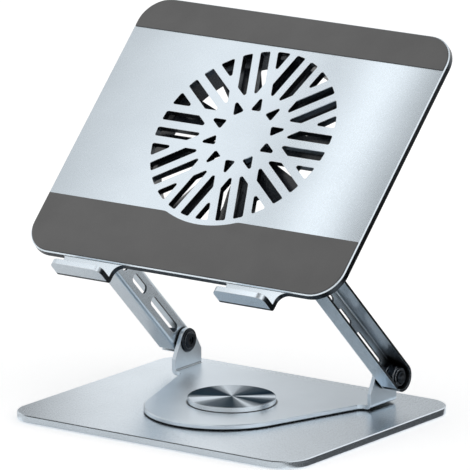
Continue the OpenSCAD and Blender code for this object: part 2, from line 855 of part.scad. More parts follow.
// Hook with its left end at x = 0.
module hook() {
    top = -tray_t + hook_lip;
    translate([0, 0, -tray_t]) linear_extrude(hook_t) hook_tab_outline();
    difference() {
        extrude_x(0, hook_w) hook_section();
        for (s = [-1, 1]) translate([hook_w / 2 + s * (hook_w / 2 - lip_r), 0, top - lip_r])
            rotate([90, 0, 0]) translate([0, 0, 1]) linear_extrude(hook_drop + 2) difference() {
                translate([s > 0 ? 0 : -lip_r - 1, 0]) square([lip_r + 1, lip_r + 1]);
                circle(r = lip_r);
            }
    }
}

module at_bracket_screws() {
    reach = bracket_l / 2 - end_margin;
    for (u = [-1, 1]) translate([ear_in - bracket_foot + foot_margin, pivot_up + u * reach, 0])
        children();
    translate([ear_in - ear_margin, pivot_up + reach, 0]) children();
}

module at_lugs() {
    for (a = [45:90:315]) rotate([0, 0, a]) children();
}

module at_fan_screws() {
    translate([0, grille_up, 0]) at_lugs() translate([fan_screw_r, 0, 0]) children();
}

module tray_plate() {
    color(metal) in_tray() difference() {
        union() {
            translate([0, tray_l / 2, -tray_t]) bevelled_plate(tray_w, tray_l, tray_t, tray_r, tray_bevel);
            for (x = [-hook_in - hook_w, hook_in]) translate([x - hook_shift, 0, 0]) hook();
        }
        translate([0, grille_up, -tray_t - 1]) linear_extrude(tray_t + 2) grille_openings();
        translate([0, 0, -tray_t - eps]) {
            both_sides() at_bracket_screws() cylinder(d = tray_screw_d + 2 * seat_fit, h = screw_bite);
            at_fan_screws() cylinder(d = tray_screw_d + 2 * seat_fit, h = screw_bite);
        }
    }
}

module lower_pad() {
    r = tray_r - pad_inset;
    top = pad_inset + low_pad_l;
    dip_r = grille_r + pad_grille_gap;
    drop = grille_up - top;
    k = pad_corner_r;
    apart = dip_r + k - join_dip;
    cx = sqrt(pow(apart, 2) - pow(drop + k, 2));
    inside = [cx, -drop - k] * (dip_r - 2) / apart + [0, grille_up];
    color(pad_grey) in_tray() linear_extrude(pad_t) difference() {
        union() {
            translate([-tray_w / 2 + pad_inset, tray_r]) square([tray_w - 2 * pad_inset, top - tray_r]);
            translate([-tray_w / 2 + tray_r, pad_inset]) square([tray_w - 2 * tray_r, tray_r]);
            for (s = [-1, 1]) translate([s * (tray_w / 2 - tray_r), tray_r]) circle(r = r);
        }
        translate([0, grille_up]) circle(r = dip_r, $fn = 180);
        for (s = [-1, 1]) difference() {
            polygon([[s * inside[0], inside[1]], [s * cx, top - k], [s * cx, top + 1],
                     [s * inside[0], top + 1]]);
            translate([s * cx, top - k]) circle(r = k);
        }
    }
}

module upper_pad() {
    r = tray_r - pad_inset;
    u1 = tray_l - pad_inset;
    u0 = u1 - top_pad_l;
    color(pad_grey) in_tray() linear_extrude(pad_t) {
        translate([-tray_w / 2 + pad_inset, u0]) square([tray_w - 2 * pad_inset, u1 - r - u0]);
        translate([-tray_w / 2 + tray_r, u0]) square([tray_w - 2 * tray_r, u1 - u0]);
        for (s = [-1, 1]) intersection() {
            translate([s * (tray_w / 2 - tray_r), tray_l - tray_r]) circle(r = r);
            translate([-tray_w / 2, u0]) square([tray_w, top_pad_l]);
        }
    }
}

// Angle bracket on the tray's back that carries the upper pivot.
module bracket() {
    foot_x = ear_in - bracket_foot;
    back = -tray_t - bracket_t;
    difference() {
        union() {
            translate([foot_x, bracket_u0, back]) cube([ear_x - foot_x - bracket_t, bracket_l, bracket_t]);
            extrude_x(ear_in, ear_x) {
                translate([pivot_up, -pivot_back]) circle(r = ear_r);
                polygon([[bracket_u0, -tray_t], [bracket_u0 + bracket_l, -tray_t],
                         [bracket_u0 + bracket_l, back - 1], [pivot_up + ear_r, -pivot_back],
                         [pivot_up - ear_r, -pivot_back], [bracket_u0, back - 1]]);
            }
        }
        at_bracket_screws() translate([0, 0, back - 1])
            cylinder(d = tray_screw_d + 2 * seat_fit, h = bracket_t + 2);
        translate([ear_in - 1, pivot_up, -pivot_back]) rotate([0, 90, 0])
            cylinder(d = bolt_d + 2 * run_fit, h = bracket_t + 2);
    }
}

module right_bracket() {
    color(metal) in_tray() bracket();
}

module left_bracket() {
    color(metal) in_tray() mirror([1, 0, 0]) bracket();
}

module bracket_screws() {
    color(black) in_tray() both_sides() at_bracket_screws()
        translate([0, 0, -tray_t - bracket_t]) pan_screw(tray_screw_d, bracket_t + screw_bite - 0.4);
}

// ---------- fan ----------

module ring(r1, r0, z0, z1) {
    translate([0, 0, z0]) difference() {
        cylinder(r = r1, h = z1 - z0, $fn = 128);
        translate([0, 0, -1]) cylinder(r = r0, h = z1 - z0 + 2, $fn = 128);
    }
}

module socket_block(grow, z0, z1, l) {
    rotate([0, 0, socket_angle]) translate([fan_bore_r + fan_wall / 2, -socket_w / 2 - grow, z0])
        cube([l, socket_w + 2 * grow, z1 - z0]);
}

module fan_frame() {
    color(black) in_fan() difference() {
        union() {
            ring(fan_bore_r + fan_wall, fan_bore_r, fan_back, -tray_t);
            ring(fan_bore_r + fan_wall + rim_out, fan_bore_r, -tray_t - rim_t, -tray_t);
            at_lugs() {
                translate([fan_screw_r, 0, -tray_t - lug_t]) cylinder(r = lug_r, h = lug_t);
                translate([fan_bore_r + fan_wall / 2, join_dip - lug_r, -tray_t - lug_t])
                    cube([fan_screw_r - fan_bore_r - fan_wall / 2, 2 * (lug_r - join_dip), lug_t]);
            }
            for (i = [0:spoke_n - 1]) rotate([0, 0, 360 / spoke_n * i + socket_angle])
                translate([seat_r - 1, -spoke_w / 2, fan_back])
                    cube([fan_bore_r - seat_r + 2, spoke_w, spoke_t]);
            translate([0, 0, fan_back]) cylinder(r = seat_r, h = spoke_t);
            translate([0, 0, fan_back]) cylinder(r = tube_r, h = tube_front - fan_back);
            socket_block(socket_wall, socket_z - socket_wall, socket_z + socket_h + socket_wall,
                         socket_l + fan_wall / 2);
        }
        translate([0, 0, seat_front - bearing_sink])
            cylinder(d = bearing_d + 2 * seat_fit, h = fan_depth);
        at_lugs() translate([fan_screw_r, 0, -tray_t - lug_t - 1])
            cylinder(d = tray_screw_d + 2 * seat_fit, h = lug_t + 2);
        rotate([0, 0, socket_angle]) {
            translate([socket_x0, -socket_w / 2 - seat_fit, socket_z - seat_fit])
                cube([socket_l + 1, socket_w + 2 * seat_fit, socket_h + 2 * seat_fit]);
            for (s = [-1, 1]) translate([fan_bore_r - 1, s * lead_space, lead_z])
                rotate([0, 90, 0]) cylinder(r = lead_r + 0.1, h = fan_wall + 2, $fn = 24);
        }
    }
}

module fan_screws() {
    color([0.5, 0.5, 0.52]) in_tray() at_fan_screws()
        translate([0, 0, -tray_t - lug_t]) pan_screw(tray_screw_d, lug_t + screw_bite - 0.4);
}

module fan_bearing() {
    color([0.72, 0.6, 0.35]) in_fan()
        ring(bearing_d / 2, shaft_d / 2 + run_fit, seat_front - bearing_sink, tube_front);
}

module stator_core() {
    near_tip = stator_r - pole_tip - tip_slope;
    under_tip = stator_r - pole_tip;
    slot = [[tube_r + core_wall, slot_foot], [near_tip, near_tip - pole_side], [under_tip, under_tip / 2]];
    color([0.45, 0.46, 0.48]) in_fan() difference() {
        ring(stator_r, tube_r + seat_fit, stator_back, stator_back + stator_h);
        for (a = [45:90:315]) rotate([0, 0, a]) translate([0, 0, stator_back - 1]) {
            linear_extrude(stator_h + 2)
                polygon(concat(slot, [for (i = [2:-1:0]) [slot[i][0], -slot[i][1]]]));
            translate([under_tip - 1, -slot_mouth / 2, 0])
                cube([pole_tip + 2, slot_mouth, stator_h + 2]);
        }
    }
}

module stator_coils() {
    color([0.75, 0.42, 0.2]) in_fan() for (a = [0:90:270]) rotate([0, 0, a])
        for (z = [stator_back - coil_seat - coil_t, stator_back + stator_h + coil_seat])
            translate([tube_r + core_wall, -coil_w / 2, z]) cube([coil_l, coil_w, coil_t]);
}

module motor_board() {
    color([0.1, 0.35, 0.2]) in_fan() ring(board_r, tube_r + seat_fit, board_back, board_back + board_t);
}

module fan_lead() {
    color([0.15, 0.15, 0.15]) in_fan() rotate([0, 0, socket_angle]) for (s = [-1, 1])
        translate([board_r + 0.05, s * lead_space, lead_z]) rotate([0, 90, 0])
            cylinder(r = lead_r, h = socket_x0 - board_r - 0.1, $fn = 24);
}

module power_socket() {
    wall = 0.5;
    color([0.75, 0.76, 0.78]) in_fan() rotate([0, 0, socket_angle]) translate([socket_x0, 0, socket_z]) {
        difference() {
            translate([0, -socket_w / 2, 0]) cube([socket_l, socket_w, socket_h]);
            translate([wall, -socket_w / 2 + wall, wall])
                cube([socket_l, socket_w - 2 * wall, socket_h - 2 * wall]);
        }
        translate([wall - eps, -socket_w / 4, socket_h / 2 - 0.35]) cube([socket_l - 2, socket_w / 2, 0.7]);
    }
}

// One pitched and cambered blade along +X.
module blade() {
    depth = blade_front - rotor_back;
    mid = (blade_front + rotor_back) / 2;
    intersection() {
        translate([0, 0, mid]) rotate([blade_pitch, 0, 0]) translate([0, 0, -blade_camber])
            rotate([0, 90, 0]) difference() {
                cylinder(r = blade_camber + blade_t / 2, h = blade_r + 5, $fn = 128);
                translate([0, 0, -1]) cylinder(r = blade_camber - blade_t / 2, h = blade_r + 8, $fn = 128);
            }
        ring(blade_r, fan_hub_r - fan_hub_wall / 2, mid - depth / 2, mid + depth / 2);
        translate([0, 0, mid - depth / 2 - 1]) linear_extrude(depth + 2) difference() {
            polygon([[0, 0], turned([fan_bore_r * 1.3, 0], blade_gap / 2 - 180 / blade_n),
                     turned([fan_bore_r * 1.3, 0], 180 / blade_n - blade_gap / 2)]);
            translate([0, -500]) square([fan_hub_r * 0.5, 1000]);
        }
    }
}

module impeller() {
    color([0.12, 0.12, 0.13]) in_fan() difference() {
        union() {
            translate([0, 0, rotor_back]) cylinder(r = fan_hub_r, h = hub_front - rotor_back);
            for (i = [0:blade_n - 1]) rotate([0, 0, 360 / blade_n * i]) blade();
        }
        difference() {
            translate([0, 0, rotor_back - 1])
                cylinder(r = fan_hub_r - fan_hub_wall, h = hub_back - rotor_back + 1);
            translate([0, 0, tube_front + 0.6]) cylinder(r = shaft_d, h = fan_hub_wall + 5);
        }
        translate([0, 0, fan_back]) cylinder(d = shaft_d + 2 * seat_fit, h = hub_front - fan_back - 0.6);
    }
}

module fan_shaft() {
    back = seat_front - bearing_sink + 0.1;
    color([0.7, 0.7, 0.72]) in_fan() translate([0, 0, back])
        cylinder(d = shaft_d, h = hub_front - 0.7 - back);
}

module magnet_ring() {
    color([0.3, 0.3, 0.32]) in_fan()
        ring(magnet_r, magnet_r - magnet_t, rotor_back, hub_back - 0.1);
}

base_plate();
base_feet();
swivel_hub();
hub_screws();
slide_ring();
friction_ring();
retaining_plate();
retainer_screws();
swivel_cap();
turntable_plate();
swivel_bush();
left_arm();
right_arm();
lower_pivot_bolts();
lower_friction_washers();
lower_nut_washers();
lower_lock_nuts();
upper_pivot_bolts();
upper_friction_washers();
upper_nut_washers();
upper_lock_nuts();
tray_plate();
lower_pad();
upper_pad();
left_bracket();
right_bracket();
bracket_screws();
fan_frame();
fan_screws();
fan_bearing();
stator_core();
stator_coils();
motor_board();
fan_lead();
power_socket();
impeller();
fan_shaft();
magnet_ring();
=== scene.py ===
import math

import bmesh
import bpy
from mathutils import Matrix, Vector


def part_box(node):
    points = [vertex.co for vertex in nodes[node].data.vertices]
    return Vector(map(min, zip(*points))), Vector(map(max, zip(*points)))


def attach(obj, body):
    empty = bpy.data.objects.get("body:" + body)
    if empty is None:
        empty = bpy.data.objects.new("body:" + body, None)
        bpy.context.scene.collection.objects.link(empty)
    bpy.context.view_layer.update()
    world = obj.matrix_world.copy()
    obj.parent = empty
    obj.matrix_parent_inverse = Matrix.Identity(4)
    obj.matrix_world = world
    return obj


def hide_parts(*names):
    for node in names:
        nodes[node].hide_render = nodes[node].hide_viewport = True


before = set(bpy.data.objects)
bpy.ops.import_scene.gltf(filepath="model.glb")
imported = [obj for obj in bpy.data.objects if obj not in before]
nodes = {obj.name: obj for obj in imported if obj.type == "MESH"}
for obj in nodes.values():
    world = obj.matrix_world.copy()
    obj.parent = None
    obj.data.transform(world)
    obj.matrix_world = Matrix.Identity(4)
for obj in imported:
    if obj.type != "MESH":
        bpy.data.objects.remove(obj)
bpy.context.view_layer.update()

# ---------------------------------------------------------------- base plate
# The heavy plate that the stand rests on: 5 mm steel, laser cut, its top edge
# bevelled, then sprayed with a satin silver coat.

MM = 0.001  # a millimetre, in metres


def linear(code):
    """Linear RGBA of an sRGB hex colour."""
    channels = [int(code[i:i + 2], 16) / 255 for i in (1, 3, 5)]
    return [c / 12.92 if c <= 0.04045 else ((c + 0.055) / 1.055) ** 2.4 for c in channels] + [1.0]


def add(tree, kind, inputs=(), **settings):
    """Adds a shader node with its settings; an input that is a socket is linked, else set."""
    node = tree.nodes.new("ShaderNode" + kind)
    for name, value in settings.items():
        setattr(node, name, value)
    for name, value in dict(inputs).items():
        if isinstance(value, bpy.types.NodeSocket):
            tree.links.new(value, node.inputs[name])
        else:
            node.inputs[name].default_value = value
    return node


def blank(name):
    """A material with an empty node tree."""
    made = bpy.data.materials.new(name)
    made.use_nodes = True
    made.node_tree.nodes.clear()
    return made


def surface(name, tones, edge_wear_and_light, patch, grain, relief, rough, edge=0.3 * MM, shade_nooks=(),
            shaded_cuts=(), **plain):
    """A finish of two tones in soft patches, with a fine grain, and a third tone on the edges:
    wear, which on the zinc is also a painted highlight and on the silicone painted shade.

    patch and grain are sizes in metres, relief is the grain's height, rough the roughness
    in and on the grain, and edge how wide the rubbed edges are. shade_nooks give painted
    shade laid into folds and corners where less open air reaches: its tone, how far it
    looks, and the shares of open air between which it fades in. shaded_cuts are cut edges
    painted dark as painted shade and reflection: a way, the leans towards it between which
    they fade in, and an axis with the two heights along it that they lie between. plain is
    set on the shader.
    """
    cut_edge_shade = "#3a4046"  # painted shade and dark reflection on the sheared metal of cut edges
    unturned, well_turned = 0.99, 0.80  # cosines of the turns where the edge tone begins and is full
    made = blank(name)
    tree = made.node_tree
    place = add(tree, "TexCoord").outputs["Object"]
    clouds = add(tree, "TexNoise", {"Vector": place, "Scale": 1 / patch, "Detail": 3.0})
    grains = add(tree, "TexNoise", {"Vector": place, "Scale": 1 / grain, "Detail": 2.0})
    eased = add(tree, "Bevel", {"Radius": edge}, samples=6).outputs["Normal"]
    facing = add(tree, "NewGeometry").outputs["Normal"]
    turned = add(tree, "VectorMath", {0: eased, 1: facing}, operation="DOT_PRODUCT")
    rubbed_and_lit = add(tree, "MapRange", {"Value": turned.outputs["Value"], "From Min": unturned,
                                    "From Max": well_turned})
    spread = add(tree, "MapRange", {"Value": clouds.outputs["Fac"], "From Min": 0.35,
                                    "From Max": 0.65})
    body = add(tree, "Mix", {0: spread.outputs["Result"], 6: linear(tones[0]),
                             7: linear(tones[1])}, data_type="RGBA")
    colour = add(tree, "Mix", {0: rubbed_and_lit.outputs["Result"], 6: body.outputs[2],
                               7: linear(edge_wear_and_light)}, data_type="RGBA")
    # Painted shade: darker where less open air reaches, in folds and corners.
    for shade_tone, reach, open_from, shut_at in shade_nooks:
        open_air = add(tree, "AmbientOcclusion", {"Distance": reach}, samples=8).outputs["AO"]
        in_shade = add(tree, "MapRange", {"Value": open_air, "From Min": open_from,
                                        "From Max": shut_at}, interpolation_type="SMOOTHSTEP")
        colour = add(tree, "Mix", {0: in_shade.outputs["Result"], 6: colour.outputs[2],
                                   7: linear(shade_tone)}, data_type="RGBA")
    # Cut edges, painted dark as painted shade and reflection as well as bare metal.
    for facing_way, gentle, steep, axis, lowest, highest in shaded_cuts:
        way = add(tree, "VectorMath", {0: add(tree, "TexCoord").outputs["Normal"],
                                       1: facing_way}, operation="DOT_PRODUCT")
        lean = add(tree, "Math", {0: way.outputs["Value"]}, operation="ABSOLUTE")
        leans = add(tree, "MapRange", {"Value": lean.outputs[0], "From Min": gentle,
                                       "From Max": steep})
        height = add(tree, "VectorMath", {0: place, 1: axis}, operation="DOT_PRODUCT")
        level = add(tree, "Math", {0: height.outputs["Value"]}, operation="ABSOLUTE")
        over = add(tree, "Math", {0: level.outputs[0], 1: lowest}, operation="GREATER_THAN")
        under = add(tree, "Math", {0: level.outputs[0], 1: highest}, operation="LESS_THAN")
        within = add(tree, "Math", {0: over.outputs[0], 1: under.outputs[0]},
                     operation="MULTIPLY")
        bare_and_shaded = add(tree, "Math", {0: within.outputs[0], 1: leans.outputs["Result"]},
                   operation="MULTIPLY")
        colour = add(tree, "Mix", {0: bare_and_shaded.outputs[0], 6: colour.outputs[2],
                                   7: linear(cut_edge_shade)}, data_type="RGBA")
    dull = add(tree, "MapRange", {"Value": grains.outputs["Fac"], "From Min": 0.3,
                                  "From Max": 0.7, "To Min": rough[0], "To Max": rough[1]})
    bump = add(tree, "Bump", {"Height": grains.outputs["Fac"], "Distance": relief,
                              "Strength": 1.0, "Normal": eased})
    shader = add(tree, "BsdfPrincipled", {"Base Color": colour.outputs[2],
                                          "Roughness": dull.outputs["Result"],
                                          "Normal": bump.outputs["Normal"], **plain})
    add(tree, "OutputMaterial", {"Surface": shader.outputs[0]})
    return made


def dress(finish, *names):
    """Gives carried-over pieces their finish."""
    for name in names:
        nodes[name].material_slots[0].material = finish


# Satin silver coat: metal flake in lacquer, so a soft sheen with a faint grain. The flakes
# are about 0.05 mm, drawn at 0.6 mm so that they show.
# Painted shade darkens its tight corners, such as under the turntable's edge.
satin_silver_coat = surface("satin_silver_coat", ("#dce6ee", "#e1ebf3"), "#f4f8fb",
                            patch=45 * MM, grain=0.6 * MM, relief=0.004 * MM,
                            rough=(0.24, 0.32), edge=0.1 * MM,
                            shade_nooks=[("#22272c", 1.0 * MM, 0.62, 0.42)], Metallic=1.0)
dress(satin_silver_coat, "base_plate")

# ---------------------------------------------------------------- feet
# Four discs of black rubber, moulded, bonded into shallow pockets under the plate.


def softened(node, name, body, finish, radius):
    """A new piece with the solid's shape and its sharp edges rounded, which stands for it."""
    weld, flat = 0.002 * MM, math.radians(0.2)
    sharp_turn, smooth_turn = math.radians(30), math.radians(28)
    mesh = bmesh.new()
    mesh.from_mesh(nodes[node].data)
    bmesh.ops.remove_doubles(mesh, verts=mesh.verts, dist=weld)
    bmesh.ops.dissolve_limit(mesh, angle_limit=flat, verts=mesh.verts, edges=mesh.edges)
    sharp = [e for e in mesh.edges if e.is_manifold and e.calc_face_angle() > sharp_turn]
    bmesh.ops.bevel(mesh, geom=sharp, offset=radius, segments=2, profile=0.5,
                    affect="EDGES", clamp_overlap=True)
    data = bpy.data.meshes.new(name)
    mesh.to_mesh(data)
    mesh.free()
    data.materials.append(finish)
    data.polygons.foreach_set("use_smooth", [True] * len(data.polygons))
    data.set_sharp_from_angle(angle=smooth_turn)
    piece = bpy.data.objects.new(name, data)
    bpy.context.scene.collection.objects.link(piece)
    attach(piece, body)
    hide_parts(node)
    return piece


# Moulded rubber: near black and matte. The mould's texture is about 0.3 mm, drawn at
# 0.5 mm so that it shows.
black_rubber = surface("black_rubber", ("#17181a", "#1f2022"), "#2c2d30", patch=6 * MM,
                       grain=0.5 * MM, relief=0.02 * MM, rough=(0.62, 0.8))
softened("base_feet", "rubber_feet", "base", black_rubber, 0.25 * MM)

# ---------------------------------------------------------------- swivel
# A turned steel hub screwed to the plate from below, nylon rings above and below
# the turntable, and a steel plate screwed on top that keeps the turntable down.

# Bare turned steel: bright grey, with turning marks about 0.2 mm apart, drawn at 0.3 mm.
bare_steel = surface("bare_steel", ("#9a9da1", "#a9acb0"), "#c9cbce", patch=8 * MM,
                     grain=0.3 * MM, relief=0.006 * MM, rough=(0.26, 0.4), Metallic=1.0)
dress(bare_steel, "swivel_hub", "hub_screws", "retaining_plate", "retainer_screws")

# Natural nylon: milky white, slightly waxy, faintly mottled where it has been rubbed.
natural_nylon = surface("natural_nylon", ("#e2e1da", "#efeee9"), "#f6f5f1", patch=5 * MM,
                        grain=0.4 * MM, relief=0.01 * MM, rough=(0.38, 0.5))
dress(natural_nylon, "slide_ring", "swivel_bush")

# Glass-filled black nylon: dull black, a slight streak of fibres in the skin.
filled_nylon = surface("filled_nylon", ("#121315", "#1b1c1f"), "#2a2b2e", patch=3 * MM,
                       grain=0.4 * MM, relief=0.015 * MM, rough=(0.42, 0.6))
dress(filled_nylon, "friction_ring")

# ---------------------------------------------------------------- spun cap
# A solid aluminium cap turned on a lathe, pressed over the retaining plate. The
# tool leaves rings about 0.15 mm apart; the bright and dark spokes that such rings throw are
# painted into its colour as a painted reflection, fixed to the cap.


def blend_along(tree, along, stops):
    """The colour at a place from 0 to 1 among stops, which are pairs of place and colour."""
    ramp = add(tree, "ValToRGB", {"Fac": along})
    ramp.color_ramp.interpolation = "EASE"
    marks = ramp.color_ramp.elements
    while len(marks) < len(stops):
        marks.new(0.5)
    for mark, (at, colour) in zip(marks, stops):
        mark.position = at
        mark.color = colour
    return ramp.outputs["Color"]


def spun_aluminium():
    """Turned face: rings round the swivel axis, and a painted reflection of bright and dark spokes
    in its colour and specular tint.

    painted_spokes are pairs of degrees past first_painted_spoke and grey from 0 to 255.
    """
    ring_gap = 0.9 * MM  # drawn six times too coarse, so that the rings show
    rings_to_a_unit = 20 / math.tau
    first_painted_spoke = math.radians(35.5)
    painted_spokes = [(0, 240), (8, 165), (15, 108), (50, 124), (70, 165), (82, 215), (100, 232),
              (112, 175), (125, 108), (168, 114), (180, 165), (190, 242), (207, 232),
              (221, 170), (234, 138), (270, 112), (283, 158), (294, 238), (304, 175),
              (317, 110), (334, 126), (345, 175), (354, 242)]
    made = blank("spun_aluminium")
    tree = made.node_tree
    place = add(tree, "TexCoord").outputs["Object"]
    rings = add(tree, "TexWave", {"Vector": place, "Scale": 1 / (ring_gap * rings_to_a_unit),
                                  "Distortion": 0.0}, wave_type="RINGS",
                rings_direction="Z", wave_profile="SIN")
    across = add(tree, "SeparateXYZ", {0: place})
    angle = add(tree, "Math", {0: across.outputs["Y"], 1: across.outputs["X"]},
                operation="ARCTAN2")
    turned = add(tree, "Math", {0: angle.outputs[0], 1: first_painted_spoke},
                 operation="SUBTRACT")
    share = add(tree, "Math", {0: turned.outputs[0], 1: math.tau}, operation="DIVIDE")
    round_once = add(tree, "Math", {0: share.outputs[0]}, operation="FRACT")
    painted_spoke_stops = [(at / 360, linear("#%02x%02x%02x" % (grey, min(grey + 7, 255),
                                                 min(grey + 13, 255))))
            for at, grey in painted_spokes]
    painted_spoke = blend_along(tree, round_once.outputs[0], painted_spoke_stops)
    clouds = add(tree, "TexNoise", {"Vector": place, "Scale": 1 / (9 * MM), "Detail": 2.0})
    shade = add(tree, "MapRange", {"Value": rings.outputs["Fac"], "To Min": 0.9, "To Max": 1.0})
    facing = add(tree, "SeparateXYZ", {0: add(tree, "TexCoord").outputs["Normal"]})
    on_top = add(tree, "Math", {0: facing.outputs["Z"], 1: 0.5}, operation="GREATER_THAN")
    # Painted reflection: the top shows the painted spokes and the wall a plain pale tone, and both
    # also set the specular tint.
    tones = add(tree, "Mix", {0: on_top.outputs[0], 6: linear("#eef3f7"),
                              7: painted_spoke}, data_type="RGBA")
    fine = add(tree, "Mix", {0: 0.05, 6: tones.outputs[2], 7: clouds.outputs["Color"]},
               data_type="RGBA", blend_type="SOFT_LIGHT")
    colour = add(tree, "Mix", {0: 1.0, 6: fine.outputs[2], 7: shade.outputs["Result"]},
                 data_type="RGBA", blend_type="MULTIPLY")
    bump = add(tree, "Bump", {"Height": rings.outputs["Fac"], "Distance": 0.006 * MM,
                              "Strength": 1.0})
    around = add(tree, "Tangent", direction_type="RADIAL", axis="Z")
    dull = add(tree, "MapRange", {"Value": rings.outputs["Fac"], "To Min": 0.26,
                                  "To Max": 0.34})
    shader = add(tree, "BsdfPrincipled", {
        "Base Color": colour.outputs[2], "Metallic": 1.0, "Roughness": dull.outputs["Result"],
        "Specular Tint": tones.outputs[2], "Anisotropic": 0.6,
        "Anisotropic Rotation": 0.25, "Tangent": around.outputs["Tangent"],
        "Normal": bump.outputs["Normal"]})
    add(tree, "OutputMaterial", {"Surface": shader.outputs[0]})
    return made


dress(spun_aluminium(), "swivel_cap")

# ---------------------------------------------------------------- turntable
# 3 mm aluminium sheet, laser cut with a round front, its two ears folded up,
# then bead blasted and anodised silver. It turns between the nylon rings.

# Bead-blasted anodised aluminium: a pale, cool, satin metal. The dimples are about
# 0.1 mm, drawn at 0.6 mm so that they show; the film rubs bright along the edges.
# Painted shade darkens its folds and the corners where other parts stand on it.
anodised_aluminium = surface("anodised_aluminium", ("#dde7ef", "#e2ecf4"), "#f6f9fb",
                             patch=40 * MM, grain=0.6 * MM, relief=0.004 * MM,
                             rough=(0.30, 0.38), edge=0.4 * MM,
                             shade_nooks=[("#1c2126", 2.4 * MM, 0.86, 0.66)], Metallic=1.0)
dress(anodised_aluminium, "turntable_plate")

# ---------------------------------------------------------------- arms
# Two channels of 1.6 mm aluminium sheet, slotted and folded, and anodised like
# the turntable. They open outwards and hang on the pivot bolts.

# Painted shade, for narrow folds and for the inside of the channels: its tone, how far it looks,
# and the shares of open air between which it fades in.
crease_shade = ("#22272c", 1.3 * MM, 0.72, 0.50)
hollow_shade = ("#50565b", 9 * MM, 0.84, 0.40)
arm_low, arm_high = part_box("right_arm")
sideways = (1, 0, 0)
arm_sheet = 1.6 * MM

# The same blasted and anodised finish, with slots and flange edges cut after it, their bare faces
# painted darker as painted shade and reflection, and painted shade inside the channel and in its
# folds.
anodised_channel = surface("anodised_channel", ("#dde7ef", "#e2ecf4"), "#f6f9fb",
                           patch=40 * MM, grain=0.6 * MM, relief=0.005 * MM,
                           rough=(0.26, 0.33), edge=0.3 * MM, shade_nooks=[hollow_shade, crease_shade],
                           shaded_cuts=[(sideways, 0.4, 0.2, sideways, arm_low.x - MM,
                                  arm_low.x + arm_sheet + 0.1 * MM),
                                 (sideways, 0.7, 0.9, sideways, arm_high.x - 0.1 * MM,
                                  arm_high.x + MM)], Metallic=1.0)
dress(anodised_channel, "left_arm", "right_arm")

# ---------------------------------------------------------------- lower pivots
# M8 bolts with low heads inside the ears, washers, and lock nuts in the arms'
# channels. They are tightened until the friction washers hold the arms.

# Black zinc plate on steel: blue-black, half glossy, scuffed to grey on the corners, and the
# near-white edge tone there is partly a painted highlight.
black_zinc = surface("black_zinc", ("#23282e", "#30363d"), "#d4dae0", patch=3 * MM,
                     grain=0.35 * MM, relief=0.008 * MM, rough=(0.16, 0.28),
                     edge=0.45 * MM, Metallic=0.9)
softened("lower_pivot_bolts", "zinc_lower_bolts", "arms", black_zinc, 0.25 * MM)
softened("lower_lock_nuts", "zinc_lower_nuts", "arms", black_zinc, 0.3 * MM)
dress(black_zinc, "lower_nut_washers")
dress(filled_nylon, "lower_friction_washers")

# ---------------------------------------------------------------- tray
# The plate that the laptop lies on: 5 mm aluminium with a star-shaped grille cut
# through it, two tongues folded into hooks, and a bevel round its face.
outward = (0, -math.sqrt(0.5), math.sqrt(0.5))
tray_back = 123.66 * MM  # height of the tray's back along outward
under_tray = tray_back - MM
bevel_foot = tray_back + 4.35 * MM
hook_bend_top = tray_back + 2.2 * MM
lip_top = tray_back + 20 * MM

# The same finish, with the outline, hooks and grille cut after it, their bare faces painted dark
# as painted shade and reflection, and painted shade in the folds.
anodised_tray = surface("anodised_tray", ("#dde7ef", "#e2ecf4"), "#f6f9fb", patch=40 * MM,
                        grain=0.6 * MM, relief=0.005 * MM, rough=(0.25, 0.32), edge=0.4 * MM,
                        shade_nooks=[crease_shade],
                        shaded_cuts=[(outward, 0.4, 0.2, outward, under_tray, bevel_foot),
                              (outward, 0.98, 0.85, outward, under_tray, hook_bend_top),
                              (sideways, 0.7, 0.9, outward, under_tray, lip_top)],
                        Metallic=1.0)
dress(anodised_tray, "tray_plate")

# ---------------------------------------------------------------- brackets and upper pivots
# Two folded angles of the same anodised sheet, each screwed to the tray's back,
# and bolted to the arms' tops with the same bolts, washers and nuts as below.
dress(anodised_aluminium, "left_bracket", "right_bracket")
dress(black_zinc, "bracket_screws", "upper_nut_washers")
dress(filled_nylon, "upper_friction_washers")
softened("upper_pivot_bolts", "zinc_upper_bolts", "arms", black_zinc, 0.25 * MM)
softened("upper_lock_nuts", "zinc_upper_nuts", "arms", black_zinc, 0.3 * MM)

# ---------------------------------------------------------------- pads
# Two pads cut from 0.8 mm grey silicone sheet and glued to the tray's face, so
# that a laptop doesn't slip.

# Silicone rubber: mid grey and dead matte, its thin cut edges painted darker as painted shade. The
# pits in its skin are about 0.1 mm, drawn at 0.5 mm.
grey_silicone = surface("grey_silicone", ("#5d5d5d", "#616161"), "#4a4a4a", patch=25 * MM,
                        grain=0.5 * MM, relief=0.012 * MM, rough=(0.72, 0.86),
                        edge=0.3 * MM)
softened("lower_pad", "silicone_lower_pad", "tray", grey_silicone, 0.2 * MM)
softened("upper_pad", "silicone_upper_pad", "tray", grey_silicone, 0.2 * MM)

# ---------------------------------------------------------------- fan frame
# The ring of an axial fan, with four arms to the motor's seat, injection moulded
# in black glass-filled plastic and screwed behind the grille.

# Moulded PBT: a dark, slightly blue black with a soft gloss and faint flow marks.
moulded_pbt = surface("moulded_pbt", ("#1f232a", "#282d35"), "#4a515b", patch=12 * MM,
                      grain=0.5 * MM, relief=0.01 * MM, rough=(0.20, 0.32))
dress(moulded_pbt, "fan_frame")
dress(black_zinc, "fan_screws")

# ---------------------------------------------------------------- impeller
# Blades and hub moulded in one piece of the same plastic, with a 3 mm steel shaft
# in the hub.
dress(moulded_pbt, "impeller")
dress(bare_steel, "fan_shaft")

# ---------------------------------------------------------------- motor
# Inside the impeller's hub: a sintered sleeve in the frame's tube, laminations
# with four wound poles, the driver board, and the magnet ring in the hub.

